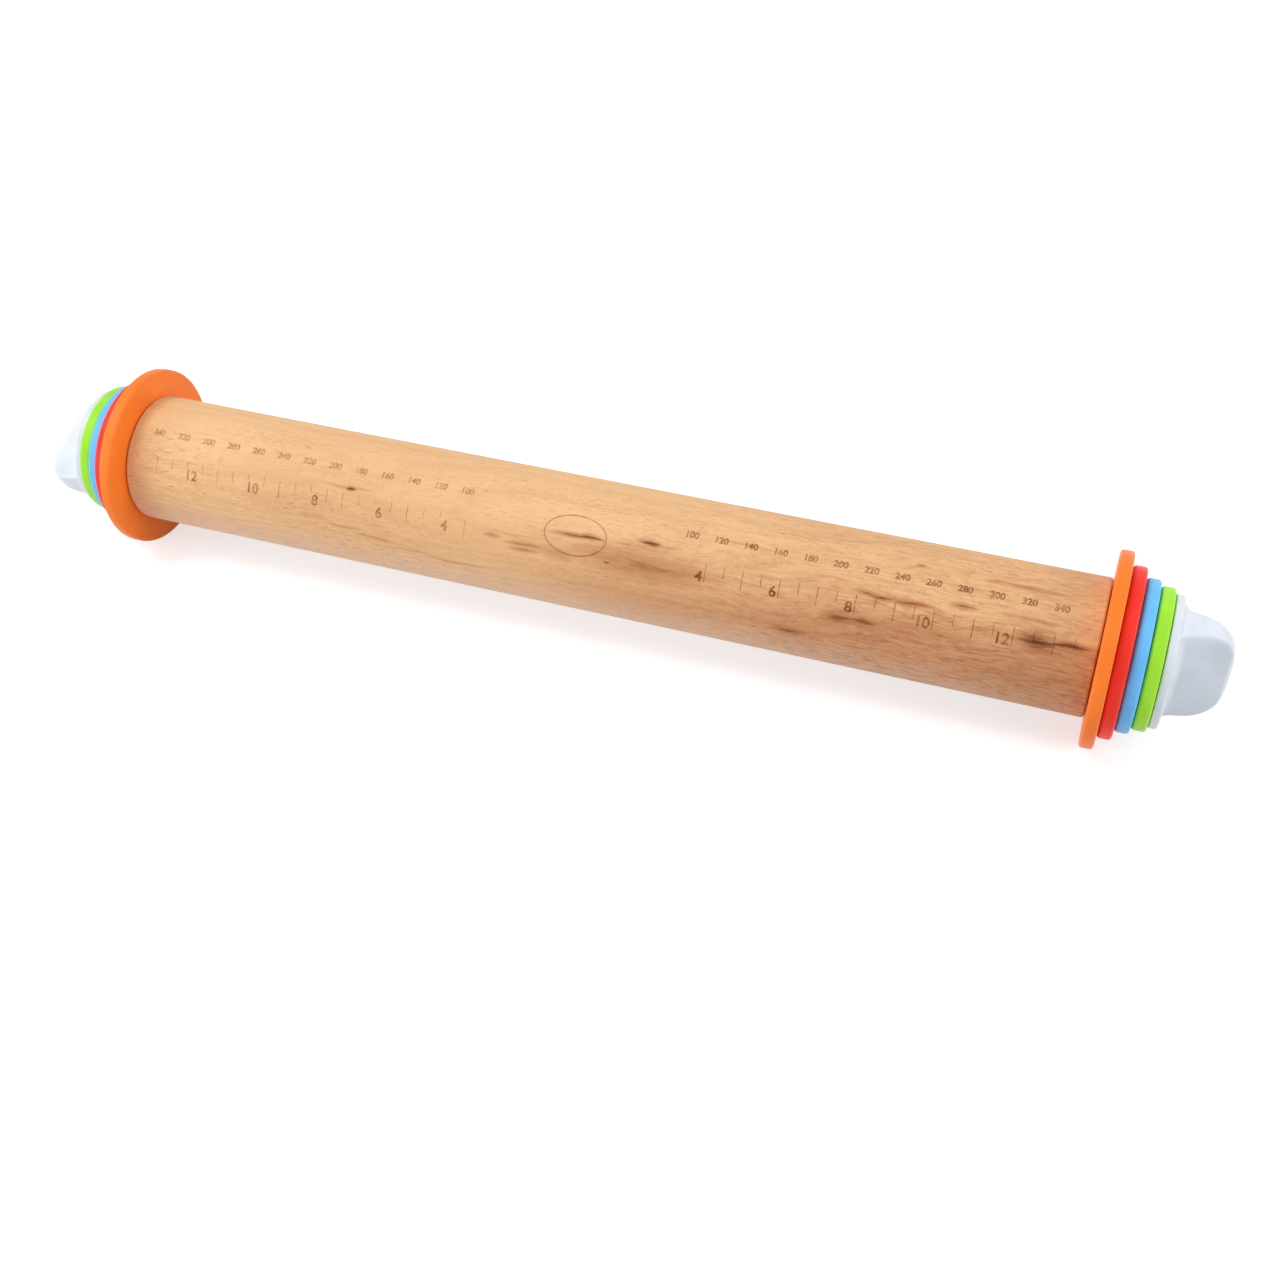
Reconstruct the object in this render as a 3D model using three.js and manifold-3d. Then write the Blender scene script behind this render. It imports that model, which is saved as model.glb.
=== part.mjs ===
// Adjustable rolling pin: a beech barrel with four thickness rings on each end.
// A wing knob with a threaded post clamps the rings of its end against the barrel.
// Millimetres. X runs along the pin, Z is up, and the origin lies under the pin's middle.
import * as THREE from 'three';
import { mergeVertices } from 'three/addons/utils/BufferGeometryUtils.js';
import Module from 'manifold-3d';

const wasm = await Module();
wasm.setup();

// Barrel
const barrelLength = 344;
const barrelRadius = 22.86;
const barrelChamfer = 0.8;
const barrelSides = 40;

// Thickness rings, from the barrel outwards. A ring's step is the dough thickness that it sets.
const ringThickness = 4.6;
const ringEdgeChamfer = 0.9;
const ringSides = 44;
const rings = [
  { name: 'ring_orange', step: 9.5, color: 0xf9822f },
  { name: 'ring_red', step: 5.34, color: 0xe8352b },
  { name: 'ring_blue', step: 2.24, color: 0x5fa9ee },
  { name: 'ring_green', step: 0.54, color: 0x8fd03a },
];

// Gaps between pieces that touch on the real object, and the overrun of every cut
const seatGap = 0.25;
const pressGap = 0.3;
const cutOverrun = 1;

// Post thread, which the insert in the barrel repeats with a clearance
const threadPitch = 5;
const threadCrestRadius = 10.2;
const threadRootRadius = 8.9;
const threadClearance = 0.4;
const threadSteps = 16;
const threadEngagement = 20;
const threadPlayDepth = 1.6;
const threadProfileShares = [[0, 0], [0.3, 0], [0.5, 1], [0.8, 1]];

// Post: a hollow threaded tube with a round head, and a flat tongue that the knob turns it by
const ringBoreClearance = 0.5;
const postBoreRadius = 6;
const postTipChamfer = 1.6;
const postFloor = 8.6;
const postHeadRadius = 11.4;
const postHeadHeight = 2.2;
const postTongueWidth = 18;
const postTongueThickness = 7.6;
const postTongueHeight = 5.5;
const postBoreSides = 20;

// Thread insert in the barrel's end
const insertRadius = 14;
const insertFloor = 4;
const insertCollarRadius = 16;
const insertCollarHeight = 1.6;
const insertSides = 32;
const insertMouthChamfer = 0.8;

// Knob: a round flange that carries a wing grip between two scoops
const knobFlangeRadius = 21.7;
const knobFlangeRim = 2;
const knobRimChamfer = 0.5;
const knobShoulderChamfer = 0.9;
const knobWingRadius = 20.2;
const knobWingStraight = 6.2;
const knobHeight = 21;
const knobRoundness = 2.9;
const knobFootThickness = 14;
const knobNoseThickness = 4.4;
const knobFootFillet = 3;
const knobScoopCorner = 5;
const knobNoseRound = 1.8;
const knobEdgeSharpness = 10;
const knobRightAngle = THREE.MathUtils.degToRad(100);
const knobLeftAngle = THREE.MathUtils.degToRad(-22);

// Screws and the washer
const screwCrestRadius = 2;
const screwRootRadius = 1.4;
const screwPitch = 3;
const screwSteps = 8;
const screwHeadRadius = 4;
const screwTipLength = 2;
const screwHoleClearance = 0.3;
const insertScrewLength = 19;
const postScrewLength = 16.5;
const postScrewHeadHeight = 2.5;
const postScrewHeadRound = 0.8;
const crossSlotWidth = 1;
const crossSlotLength = 4.4;
const crossSlotDepth = 1.5;
const washerRadius = 5.2;
const washerThickness = 0.9;

// Places along the axis, all measured from the pin's middle out to one end
const barrelEnd = barrelLength / 2;
const ringPitch = ringThickness + seatGap;
const knobSeat = barrelEnd + seatGap + rings.length * ringPitch;
const postTip = barrelEnd - threadEngagement;
const postHeadBase = knobSeat + seatGap;
const postHeadTop = postHeadBase + postHeadHeight;
const postTongueTop = postHeadTop + postTongueHeight;
const postFloorFace = postTongueTop - postFloor;
const insertFloorFace = postTip - rings.length * ringPitch - threadPlayDepth;
const insertEnd = insertFloorFace - insertFloor;
const ringBoreRadius = threadCrestRadius + ringBoreClearance;
const knobFootHeight = knobFlangeRim + knobShoulderChamfer;
const screwHoleRadius = screwCrestRadius + screwHoleClearance;

// The pin stands on a flat side of its largest rings, so the axis is that side's distance up.
const restRadius = barrelRadius + Math.max(...rings.map((ring) => ring.step));
const axisHeight = restRadius * Math.cos(Math.PI / ringSides);

const finishes = {
  beech: { color: 0xd9a878, roughness: 0.55, metalness: 0 },
  whitePlastic: { color: 0xeef2f8, roughness: 0.35, metalness: 0 },
  greyPlastic: { color: 0x9aa2aa, roughness: 0.45, metalness: 0 },
  steel: { color: 0xb4b8bc, roughness: 0.3, metalness: 1 },
};

// Geometry helpers

function bare(geometry) {
  geometry.deleteAttribute('normal');
  geometry.deleteAttribute('uv');
  return mergeVertices(geometry);
}

function toManifold(geometry) {
  const shape = bare(geometry);
  return new wasm.Manifold(new wasm.Mesh({
    numProp: 3,
    vertProperties: new Float32Array(shape.attributes.position.array),
    triVerts: new Uint32Array(shape.index.array),
  }));
}

function toGeometry(manifold) {
  const mesh = manifold.getMesh();
  const geometry = new THREE.BufferGeometry();
  geometry.setAttribute('position', new THREE.BufferAttribute(mesh.vertProperties, mesh.numProp));
  geometry.setIndex(new THREE.BufferAttribute(mesh.triVerts, 1));
  geometry.computeVertexNormals();
  return geometry;
}

// A turned solid about the X axis. Each profile point is [place along X, radius], and a flat
// side of the turned polygon faces straight down.
function turned(profile, sides) {
  const points = profile.map(([x, radius]) => new THREE.Vector2(radius, x));
  const geometry = new THREE.LatheGeometry(points, sides, Math.PI / sides);
  geometry.rotateZ(-Math.PI / 2);
  return geometry;
}

function rod(from, to, radius, sides) {
  return turned([[from, 0], [from, radius], [to, radius], [to, 0]], sides);
}

function indexed(positions, triangles) {
  const geometry = new THREE.BufferGeometry();
  geometry.setAttribute('position', new THREE.Float32BufferAttribute(positions, 3));
  geometry.setIndex(triangles);
  return geometry;
}

// A rod with a helical ridge along X, longer than needed at both ends, where a turned blank
// trims it. The ridge climbs one pitch for each right-hand turn about +X, and whole turns
// start at the datum.
function threadedRod({ from, to, datum, crest, root, pitch, steps, start }) {
  const turns = Math.ceil((to - from) / pitch) + 2;
  const origin = datum + pitch * (Math.floor((from - datum) / pitch) - 1);
  const last = turns * steps;
  const positions = [];
  const rows = threadProfileShares.map(([along, height], row) => {
    const first = positions.length / 3;
    const count = row === 0 ? last + steps : last;
    for (let step = 0; step <= count; step += 1) {
      const angle = start + (2 * Math.PI * step) / steps;
      const radius = root + height * (crest - root);
      const x = origin + pitch * (step / steps + along);
      positions.push(x, radius * Math.cos(angle), radius * Math.sin(angle));
    }
    return first;
  });
  const corner = (step, row) => (row === rows.length ? rows[0] + step + steps : rows[row] + step);
  const triangles = [];
  for (let step = 0; step < last; step += 1) {
    for (let row = 0; row < rows.length; row += 1) {
      const a = corner(step, row);
      const b = corner(step + 1, row);
      const c = corner(step + 1, row + 1);
      const d = corner(step, row + 1);
      triangles.push(a, b, c, a, c, d);
    }
  }
  const cap = (step, apexX, flip) => {
    const apex = positions.length / 3;
    positions.push(apexX, 0, 0);
    const loop = [];
    for (let i = 0; i <= steps; i += 1) {
      loop.push(corner(step + i, 0));
    }
    for (let row = rows.length - 1; row > 0; row -= 1) {
      loop.push(corner(step, row));
    }
    loop.forEach((vertex, i) => {
      const next = loop[(i + 1) % loop.length];
      triangles.push(...(flip ? [apex, vertex, next] : [apex, next, vertex]));
    });
  };
  cap(0, origin - pitch, false);
  cap(last, origin + pitch * (turns + 2), true);
  return indexed(positions, triangles);
}

// A closed skin round the X axis from stations of [place, radius at each angle]. It closes on
// the axis at its first station and at the tip.
function lofted(stations, angles, tip) {
  const positions = [];
  stations.forEach(([x, radiusAt]) => {
    angles.forEach((angle) => {
      const radius = radiusAt(angle);
      positions.push(x, radius * Math.cos(angle), radius * Math.sin(angle));
    });
  });
  const triangles = [];
  const count = angles.length;
  for (let i = 0; i + 1 < stations.length; i += 1) {
    for (let j = 0; j < count; j += 1) {
      const a = i * count + j;
      const b = i * count + ((j + 1) % count);
      triangles.push(a, b, b + count, a, b + count, a + count);
    }
  }
  const ends = [[0, stations[0][0], false], [stations.length - 1, tip, true]];
  ends.forEach(([i, x, flip]) => {
    const apex = positions.length / 3;
    positions.push(x, 0, 0);
    for (let j = 0; j < count; j += 1) {
      const a = i * count + j;
      const b = i * count + ((j + 1) % count);
      triangles.push(...(flip ? [apex, a, b] : [apex, b, a]));
    }
  });
  return indexed(positions, triangles);
}

// Barrel: blind bores for the two inserts, each with a pilot hole in its floor.
function barrel() {
  const boreRadius = insertRadius + pressGap;
  const collarRadius = insertCollarRadius + pressGap;
  const collarFloor = barrelEnd - insertCollarHeight - pressGap;
  const boreFloor = insertEnd - pressGap;
  const pilotFloor = insertFloorFace - insertScrewLength - pressGap - screwTipLength;
  const half = [
    [pilotFloor, 0],
    [pilotFloor, screwHoleRadius],
    [boreFloor, screwHoleRadius],
    [boreFloor, boreRadius],
    [collarFloor, boreRadius],
    [collarFloor, collarRadius],
    [barrelEnd, collarRadius],
    [barrelEnd, barrelRadius - barrelChamfer],
    [barrelEnd - barrelChamfer, barrelRadius],
  ];
  const mirrored = half.map(([x, radius]) => [-x, radius]);
  return turned([...mirrored, ...half.reverse()], barrelSides);
}

// Thickness ring, centred on the post by its bore.
function thicknessRing(inner, radius) {
  const outer = inner + ringThickness;
  const edge = ringEdgeChamfer;
  return turned([
    [inner, ringBoreRadius],
    [inner, radius - edge],
    [inner + edge, radius],
    [outer - edge, radius],
    [outer, radius - edge],
    [outer, ringBoreRadius],
    [inner, ringBoreRadius],
  ], ringSides);
}

// Thread insert: a collared cup with an internal thread and a countersunk floor.
function threadInsert() {
  const collarBase = barrelEnd - insertCollarHeight;
  const body = toManifold(turned([
    [insertEnd, 0],
    [insertEnd, insertRadius],
    [collarBase, insertRadius],
    [collarBase, insertCollarRadius],
    [barrelEnd, insertCollarRadius],
    [barrelEnd, 0],
  ], insertSides));
  const crest = threadCrestRadius + threadClearance;
  const root = threadRootRadius + threadClearance;
  const mouthRadius = crest + insertMouthChamfer;
  const helix = toManifold(threadedRod({
    from: insertFloorFace,
    to: barrelEnd,
    datum: barrelEnd,
    crest,
    root,
    pitch: threadPitch,
    steps: threadSteps,
    start: 0,
  }));
  const blank = toManifold(rod(insertFloorFace, barrelEnd + cutOverrun, insertRadius, insertSides));
  const mouth = toManifold(turned([
    [barrelEnd - mouthRadius, 0],
    [barrelEnd + cutOverrun, mouthRadius + cutOverrun],
    [barrelEnd + cutOverrun, 0],
  ], insertSides));
  const headRadius = screwHeadRadius + screwHoleClearance;
  const sink = insertFloorFace - (headRadius - screwHoleRadius);
  const screwHole = toManifold(turned([
    [insertEnd - cutOverrun, 0],
    [insertEnd - cutOverrun, screwHoleRadius],
    [sink, screwHoleRadius],
    [insertFloorFace, headRadius],
    [insertFloorFace + cutOverrun, headRadius],
    [insertFloorFace + cutOverrun, 0],
  ], postBoreSides));
  const cut = helix.intersect(blank).add(mouth).add(screwHole);
  return toGeometry(body.subtract(cut));
}

// The post's head and tongue, and, made larger by a gap, their seat in the knob.
function postKey(from, grow) {
  const disc = toManifold(rod(from, postHeadTop + grow, postHeadRadius + grow, postBoreSides));
  const length = postTongueTop + grow - from;
  const tongue = new THREE.BoxGeometry(length, postTongueWidth + 2 * grow, postTongueThickness + 2 * grow);
  tongue.translate(from + length / 2, 0, 0);
  return disc.add(toManifold(tongue));
}

// Threaded post: its thread starts where the insert's does, whatever way its head is turned.
function threadedPost(headAngle) {
  const helix = toManifold(threadedRod({
    from: postTip,
    to: postHeadBase,
    datum: barrelEnd,
    crest: threadCrestRadius,
    root: threadRootRadius,
    pitch: threadPitch,
    steps: threadSteps,
    start: -headAngle,
  }));
  const blank = toManifold(turned([
    [postTip, 0],
    [postTip, threadCrestRadius - postTipChamfer],
    [postTip + postTipChamfer + cutOverrun, threadCrestRadius + cutOverrun],
    [postHeadBase + cutOverrun, threadCrestRadius + cutOverrun],
    [postHeadBase + cutOverrun, 0],
  ], postBoreSides));
  const head = postKey(postHeadBase, 0);
  const bore = toManifold(rod(postTip - cutOverrun, postFloorFace, postBoreRadius, postBoreSides));
  const screwHole = toManifold(rod(
    postFloorFace - cutOverrun,
    postTongueTop + cutOverrun,
    screwHoleRadius,
    screwSteps,
  ));
  return toGeometry(helix.intersect(blank).add(head).subtract(bore.add(screwHole)));
}

// Knob: its outline is a rounded dome, which two scoops with round corners cut down to a wing.
// The wing's flat runs along the angle 0.
function knobDomeRadius(along) {
  const share = Math.max(0, (along - knobWingStraight) / (knobHeight - knobWingStraight));
  return knobWingRadius * (1 - share ** knobRoundness) ** (1 / knobRoundness);
}

function knobHalfThickness(along) {
  const share = (along - knobFootHeight) / (knobHeight - knobFootHeight);
  const taper = THREE.MathUtils.lerp(knobFootThickness, knobNoseThickness, share) / 2;
  const nose = Math.max(0, 1 - (knobHeight - along) / knobNoseRound);
  return taper * Math.sqrt(1 - nose * nose);
}

// How far a quarter circle of radius 1 has risen from its flat end, at a share of its length.
function quarterRise(share) {
  const inside = THREE.MathUtils.clamp(share, 0, 1);
  return 1 - Math.sqrt(1 - inside * inside);
}

// Radius of the wing at one angle: the smaller of dome and scoop, with a soft edge between them
// and a fillet where the scoop starts. The scoop starts later in its corners.
function knobWing(along, angle) {
  const dome = knobDomeRadius(along);
  const scoop = knobHalfThickness(along) / Math.max(Math.abs(Math.sin(angle)), Number.EPSILON);
  const power = knobEdgeSharpness;
  const wing = (dome ** -power + scoop ** -power) ** (-1 / power);
  const sideways = wing * Math.abs(Math.cos(angle));
  const corner = quarterRise((sideways - knobWingRadius) / knobScoopCorner + 1);
  const start = knobFootHeight + knobScoopCorner * corner;
  const fillet = quarterRise(1 - (along - start) / knobFootFillet);
  return THREE.MathUtils.lerp(wing, dome, fillet);
}

function knobAngles() {
  const quarterShares = [0, 0.05, 0.1, 0.15, 0.2, 0.26, 0.34, 0.45, 0.6, 0.8];
  const quarter = quarterShares.map((share) => (share * Math.PI) / 2);
  const mirror = quarter.map((angle) => Math.PI - angle).reverse();
  const upper = [...quarter, Math.PI / 2, ...mirror];
  return [...upper, ...upper.slice(1, -1).map((angle) => angle + Math.PI)];
}

function knob() {
  const flange = (along, radius) => [knobSeat + along, () => radius];
  const wing = (along) => [knobSeat + along, (angle) => knobWing(along, angle)];
  const filletShares = [0, 0.05, 0.2, 0.45, 0.7, 1];
  const domeShares = [0, 0.16, 0.32, 0.48, 0.62, 0.75, 0.86, 0.94];
  const domeAlong = (share) => {
    const sweep = Math.sin((share * Math.PI) / 2) ** (2 / knobRoundness);
    return knobWingStraight + sweep * (knobHeight - knobWingStraight);
  };
  const filletTop = knobFootHeight + knobFootFillet;
  const stations = [
    flange(0, knobFlangeRadius - knobRimChamfer),
    flange(knobRimChamfer, knobFlangeRadius),
    flange(knobFlangeRim, knobFlangeRadius),
    flange(knobFootHeight, knobFlangeRadius - knobShoulderChamfer),
    ...filletShares.map((share) => wing(knobFootHeight + share * knobFootFillet)),
    ...domeShares.map(domeAlong).filter((along) => along > filletTop).map(wing),
  ];
  const skin = toManifold(lofted(stations, knobAngles(), knobSeat + knobHeight));
  const seat = postKey(knobSeat - cutOverrun, pressGap);
  const pilotDepth = postFloorFace - washerThickness - 2 * seatGap + postScrewLength + screwTipLength;
  const pilot = toManifold(rod(knobSeat, pilotDepth, screwHoleRadius, screwSteps));
  return toGeometry(skin.subtract(seat.add(pilot)));
}

// Cross recess for a driver, sunk from a screw's face at x = 0.
function crossRecess() {
  const slot = () => new THREE.BoxGeometry(2 * crossSlotDepth, crossSlotWidth, crossSlotLength);
  return toManifold(slot()).add(toManifold(slot().rotateX(Math.PI / 2)));
}

// Screw along +X: the head's profile starts at x = 0, and the shank carries a helical ridge.
function screw(headProfile, length) {
  const neck = headProfile.at(-1)[0];
  const head = toManifold(turned([[0, 0], ...headProfile, [neck + screwCrestRadius, 0]], postBoreSides));
  const helix = toManifold(threadedRod({
    from: neck,
    to: length,
    datum: neck,
    crest: screwCrestRadius,
    root: screwRootRadius,
    pitch: screwPitch,
    steps: screwSteps,
    start: 0,
  }));
  const blank = toManifold(turned([
    [neck, 0],
    [neck, screwCrestRadius + cutOverrun],
    [length - screwTipLength, screwCrestRadius + cutOverrun],
    [length - screwTipLength, screwCrestRadius],
    [length, 0],
  ], postBoreSides));
  return toGeometry(head.add(helix.intersect(blank)).subtract(crossRecess()));
}

function insertScrew() {
  const headHeight = screwHeadRadius - screwCrestRadius;
  const profile = [[0, screwHeadRadius], [headHeight, screwCrestRadius]];
  return screw(profile, insertScrewLength);
}

function postScrew() {
  const round = postScrewHeadRound;
  const profile = [
    [0, screwHeadRadius - round],
    [round, screwHeadRadius],
    [postScrewHeadHeight, screwHeadRadius],
    [postScrewHeadHeight, screwCrestRadius],
  ];
  return screw(profile, postScrewLength + postScrewHeadHeight);
}

function postWasher() {
  return turned([
    [0, screwHoleRadius],
    [0, washerRadius],
    [washerThickness, washerRadius],
    [washerThickness, screwHoleRadius],
    [0, screwHoleRadius],
  ], postBoreSides);
}

// Assembly

function named(name, geometry, finish) {
  const mesh = new THREE.Mesh(geometry, new THREE.MeshStandardMaterial(finish));
  mesh.name = name;
  return mesh;
}

// One end of the pin, built along +X from the pin's middle.
function pinEnd(side, knobAngle) {
  const end = new THREE.Group();
  end.add(named(`thread_insert_${side}`, threadInsert(), finishes.greyPlastic));

  const fixing = named(`insert_screw_${side}`, insertScrew(), finishes.steel);
  fixing.position.x = insertFloorFace;
  fixing.rotation.y = Math.PI;
  end.add(fixing);

  rings.forEach(({ name, step, color }, i) => {
    const inner = barrelEnd + seatGap + i * ringPitch;
    const finish = { color, roughness: 0.4, metalness: 0 };
    end.add(named(`${name}_${side}`, thicknessRing(inner, barrelRadius + step), finish));
  });

  const turning = new THREE.Group();
  turning.rotation.x = knobAngle;
  turning.add(named(`knob_${side}`, knob(), finishes.whitePlastic));
  turning.add(named(`threaded_post_${side}`, threadedPost(knobAngle), finishes.greyPlastic));

  const washer = named(`post_washer_${side}`, postWasher(), finishes.steel);
  washer.position.x = postFloorFace - seatGap - washerThickness;
  turning.add(washer);

  const clamp = named(`post_screw_${side}`, postScrew(), finishes.steel);
  clamp.position.x = washer.position.x - seatGap - postScrewHeadHeight;
  turning.add(clamp);

  end.add(turning);
  return end;
}

const pin = new THREE.Group();
pin.position.z = axisHeight;
pin.add(named('barrel', barrel(), finishes.beech));
pin.add(pinEnd('right', knobRightAngle));

const leftEnd = pinEnd('left', knobLeftAngle);
leftEnd.rotation.z = Math.PI;
pin.add(leftEnd);

export default pin;
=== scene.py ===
import math

import bmesh
import bpy
from mathutils import Matrix, Vector


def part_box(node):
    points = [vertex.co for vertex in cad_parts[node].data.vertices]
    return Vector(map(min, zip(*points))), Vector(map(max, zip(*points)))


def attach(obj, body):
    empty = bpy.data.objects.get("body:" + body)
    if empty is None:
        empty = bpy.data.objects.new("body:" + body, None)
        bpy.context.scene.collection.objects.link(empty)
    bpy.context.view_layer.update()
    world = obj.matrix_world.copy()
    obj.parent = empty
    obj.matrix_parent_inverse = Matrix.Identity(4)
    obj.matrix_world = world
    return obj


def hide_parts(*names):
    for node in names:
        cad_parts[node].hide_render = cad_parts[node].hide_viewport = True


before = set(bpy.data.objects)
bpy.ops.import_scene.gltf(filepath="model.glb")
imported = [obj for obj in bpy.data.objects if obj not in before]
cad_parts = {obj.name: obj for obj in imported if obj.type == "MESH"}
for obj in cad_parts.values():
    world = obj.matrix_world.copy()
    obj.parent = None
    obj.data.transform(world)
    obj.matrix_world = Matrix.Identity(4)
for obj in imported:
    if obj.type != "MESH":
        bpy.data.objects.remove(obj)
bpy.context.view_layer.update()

# Adjustable rolling pin. The places come from the frame, in metres, and MM turns the sizes that
# are read off the real object into metres.
MM = 0.001
TINY = 1e-9
scene = bpy.context.scene

# Places along the axis
barrel_low, barrel_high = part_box("barrel")
AXIS_HEIGHT = (barrel_low.z + barrel_high.z) / 2
BARREL_END = barrel_high.x
BARREL_RADIUS = 22.86 * MM

# Camera, fitted to the ticks of the scale, the ring edges and the barrel's outline
PHOTO_SIZE = 1282
FOCAL_PIXELS = 1626.1
SENSOR = 36 * MM
CAMERA_PLACE = Vector((166.1, -428.19, 360.48)) * MM
CAMERA_TURN = (51.049, -0.001, 19.163)
CAMERA_CLIP = (0.01, 100)

# Meshes: faces that meet at more than a sharp angle, in degrees, aren't smoothed into each other
SHARP_ANGLE = 40
MOULDED_SHARP_ANGLE = 60
FILLET_STEPS = 8
WELD_REACH = 0.01 * MM

# Barrel
BARREL_SIDES = 180
BARREL_EDGE = 0.9 * MM
BORE_RADIUS = 14.3 * MM
COLLAR_RADIUS = 16.3 * MM
COLLAR_DEPTH = 1.9 * MM
BORE_DEPTH = 45.3 * MM

# Rings, from the barrel outwards
RING_COLOURS = ("orange", "red", "blue", "green")
RING_SIDES = 200
RING_BORE_RADIUS = 10.7 * MM
RING_BORE_EDGE = 0.3 * MM
RING_EDGE = 1.1 * MM

# Knob: a flange that carries a wing between two scoops with round corners
KNOB_FLANGE_RADIUS = 21.7 * MM
KNOB_FLANGE_RIM = 2 * MM
KNOB_RIM_ROUND = 0.5 * MM
KNOB_SHOULDER_ROUND = 0.9 * MM
KNOB_FOOT_HEIGHT = KNOB_FLANGE_RIM + KNOB_SHOULDER_ROUND
KNOB_WING_RADIUS = 20.2 * MM
KNOB_WING_STRAIGHT = 6.2 * MM
KNOB_HEIGHT = 21 * MM
KNOB_ROUNDNESS = 2.9
KNOB_FOOT_THICKNESS = 14 * MM
KNOB_NOSE_THICKNESS = 4.4 * MM
KNOB_FOOT_FILLET = 3 * MM
KNOB_SCOOP_CORNER = 5 * MM
KNOB_NOSE_ROUND = 1.8 * MM
KNOB_EDGE_SHARPNESS = 10
KNOB_TURNS = {"right": 100, "left": -22}
KNOB_EDGE_STEPS = 24
KNOB_SIDE_STEPS = 48
KNOB_RIM_STEPS = 6
KNOB_SHOULDER_STEPS = 8
KNOB_SCOOP_STEPS = 60
KNOB_SCOOP_CROWDING = 1.5
KNOB_DOME_STEPS = 64

# Seat of the post in the knob: a disc, a slot for the post's tongue and a pilot hole for its screw
POST_DISC_RADIUS = 11.7 * MM
POST_DISC_DEPTH = 2.75 * MM
POST_SLOT_WIDTH = 18.6 * MM
POST_SLOT_THICKNESS = 8.2 * MM
POST_SLOT_DEPTH = 8.25 * MM
SCREW_HOLE_RADIUS = 2.3 * MM
SCREW_HOLE_DEPTH = 16.6 * MM

# Scales on the barrel: diameters of the dough in millimetres and in inches. Elevations are
# degrees above the horizontal on the front. A mark is made flat, FLAT_HALF to each side of its
# plane, and then wrapped round the barrel from MARK_DEPTH in to MARK_PROUD out.
FLAT_HALF = 0.5
MARK_PROUD = 0.02 * MM
MARK_DEPTH = 0.15 * MM
MARK_CUT = 0.5 * MM
MARK_CUT_SLACK = 1e-7
FIGURE_SMOOTHNESS = 6
MM_FIGURES = range(100, 341, 20)
MM_STEP = 10 * MM
MM_FIGURE_SIZE = 3.2 * MM
MM_FIGURE_BOLD = 0.12 * MM
MM_TICK_WIDTH = 0.2 * MM
MM_TICK_LENGTH = 6 * MM
INCH_FIGURE_SIZE = 5.0 * MM
INCH_FIGURE_BOLD = 0.12 * MM
INCH_TICK_WIDTH = 0.33 * MM
INCH_TICK_LENGTHS = {"long": 6.2 * MM, "short": 3.8 * MM, "stub": 2.1 * MM}
INCH_FIRST = 4

# How dark the marks are burnt: the least and the most share of brown
BURNS = {
    "deep": (0.48, 0.86),
    "strong": (0.40, 0.76),
    "clear": (0.32, 0.66),
    "plain": (0.24, 0.56),
    "worn": (0.16, 0.46),
    "faint": (0.0, 0.15),
}

# Each scale starts near the middle. Figures stand at a distance from their inch tick, and drift
# is how far the elevations of a scale that was burnt at a slant change, in degrees per metre.
SCALES = {
    "right": {
        "burns": {
            "mm_ticks": "faint",
            "mm_figures": "strong",
            "inch_ticks": "clear",
            "inch_figures": "deep",
        },
        "mm_tick": 42.2 * MM,
        "mm_figure": 38.8 * MM,
        "mm_figure_elevation": 62.3,
        "mm_tick_elevation": 61,
        "inch_tick": 46.0 * MM,
        "inch_step": 12.5 * MM,
        "inch_tick_elevation": 40.5,
        "inch_figure": -0.75 * MM,
        "inch_align": "RIGHT",
        "inch_figure_elevation": 29.1,
        "inch_last": 13.5,
        "even_inches": "long",
        "drift": 0,
    },
    "left": {
        "burns": {
            "mm_ticks": "faint",
            "mm_figures": "plain",
            "inch_ticks": "worn",
            "inch_figures": "strong",
        },
        "mm_tick": -44.1 * MM,
        "mm_figure": -41.3 * MM,
        "mm_figure_elevation": 62.2,
        "mm_tick_elevation": 61.5,
        "inch_tick": -48.6 * MM,
        "inch_step": -12.3 * MM,
        "inch_tick_elevation": 40.6,
        "inch_figure": 1.8 * MM,
        "inch_align": "CENTER",
        "inch_figure_elevation": 28.6,
        "inch_last": 13,
        "even_inches": "stub",
        "drift": -22,
    },
}

# A tick between the left scale and the oval, and the oval in the middle
LOOSE_TICK = {"x": -39.3 * MM, "elevation": 36, "length": 6.2 * MM}
OVAL_ELEVATION = 42.2
OVAL_WIDTH = 21.8 * MM
OVAL_HEIGHT = 13.6 * MM
OVAL_LINE = 0.42 * MM
OVAL_SIDES = 96

# Floor, lamps and sky
FLOOR_REACH = 8
FLOOR_GREY = (0.70, 0.70, 0.70, 1)
FLOOR_LIFT = 0.58
SKY_COLOUR = (0.88, 0.92, 1.0, 1)
SKY_STRENGTH = 0.70
WHITE = (1, 1, 1, 1)
LAMPS = {
    "key": {
        "place": (-1.5, -0.7, 2.6),
        "target": (0, 0, 0.03),
        "size": 1.4,
        "power": 37,
        "colour": (1, 0.975, 0.94),
    },
    "right_fill": {
        "place": (2.4, 0.1, 1.1),
        "target": (0, 0, 0.03),
        "size": 1.2,
        "power": 21,
        "colour": (1, 1, 1),
    },
    "left_fill": {
        "place": (-1.2, -0.7, 0.16),
        "target": (-0.2, 0, 0.03),
        "size": 0.5,
        "power": 4.9,
        "colour": (1, 1, 1),
    },
}


# Mesh helpers

def add_object(name, mesh, material, sharp=SHARP_ANGLE):
    for polygon in mesh.polygons:
        polygon.use_smooth = True
    mesh.set_sharp_from_angle(angle=math.radians(sharp))
    mesh.materials.append(material)
    piece = bpy.data.objects.new(name, mesh)
    scene.collection.objects.link(piece)
    return piece


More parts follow.
